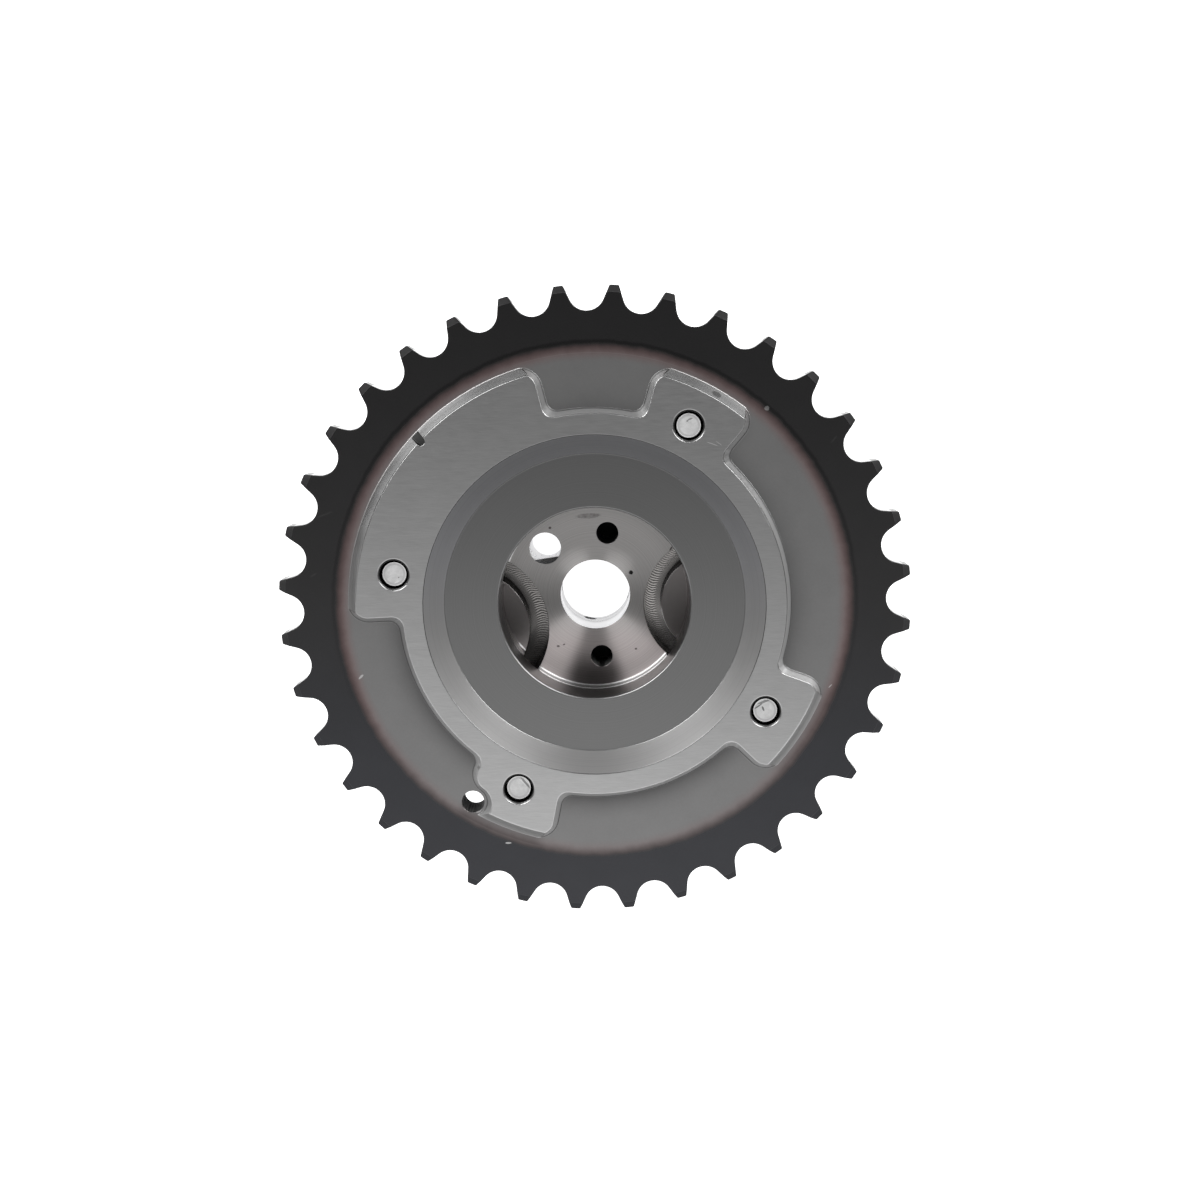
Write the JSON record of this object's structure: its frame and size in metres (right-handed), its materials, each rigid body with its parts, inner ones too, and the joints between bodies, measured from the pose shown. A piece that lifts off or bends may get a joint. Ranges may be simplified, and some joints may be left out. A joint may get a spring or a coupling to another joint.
{
  "type": "cam phaser",
  "caption": "Hydraulic cam phaser with an integral chain sprocket, a lobed signal ring, a vaned rotor with a lock pin inside, and a flat front cover held by long bolts.",
  "frame": {"origin": "on the camshaft axis, in the middle plane of the sprocket teeth, inside the journal bore", "axes": "+Z along the axis, out of the side the camshaft enters; +X to the right and +Y up as the picture shows that side"},
  "size_m": [0.1116, 0.1116, 0.0383],
  "materials": {
    "sprocket_steel": "sintered steel: machined grey faces, dark induction-hardened teeth",
    "rotor_steel": "sintered steel, turned seat",
    "housing_alloy": "machined, satin",
    "cover_steel": "ground, satin",
    "bolt_steel": "cold headed, satin",
    "hard_steel": "hardened and ground",
    "spring_steel": "bright spring steel",
    "seal_plastic": "moulded, filled plastic"
  },
  "bodies": {
    "housing": {"sprocket": "sprocket_steel", "stator": "housing_alloy", "front_cover": "cover_steel", "cover_bolt_1": "bolt_steel", "cover_bolt_2": "bolt_steel", "cover_bolt_3": "bolt_steel", "cover_bolt_4": "bolt_steel", "web_seal_1": "seal_plastic", "web_seal_2": "seal_plastic", "web_seal_3": "seal_plastic", "web_seal_4": "seal_plastic", "web_seal_spring_1": "spring_steel", "web_seal_spring_2": "spring_steel", "web_seal_spring_3": "spring_steel", "web_seal_spring_4": "spring_steel", "lock_seat_bush": "hard_steel", "locating_dowel": "hard_steel"},
    "phase_rotor": {"rotor": "rotor_steel", "vane_seal_1": "seal_plastic", "vane_seal_2": "seal_plastic", "vane_seal_3": "seal_plastic", "vane_seal_4": "seal_plastic", "vane_seal_spring_1": "spring_steel", "vane_seal_spring_2": "spring_steel", "vane_seal_spring_3": "spring_steel", "vane_seal_spring_4": "spring_steel", "lock_pin_plug": "hard_steel", "lock_pin_spring": "spring_steel"},
    "locking_pin": {"lock_pin": "hard_steel"}
  },
  "joints": [
    {"name": "rotor_phase", "type": "hinge", "parent": "housing", "child": "phase_rotor", "pos_m": [0, 0, 0], "axis": [0, 0, 1], "range_deg": [0, 30]},
    {"name": "lock_pin_slide", "type": "slide", "parent": "phase_rotor", "child": "locking_pin", "axis": [0, 0, -1], "range_m": [0, 0.0025], "stiffness_N_per_m": 4600, "springref_m": -0.002, "deforming": ["lock_pin_spring"]}
  ]
}
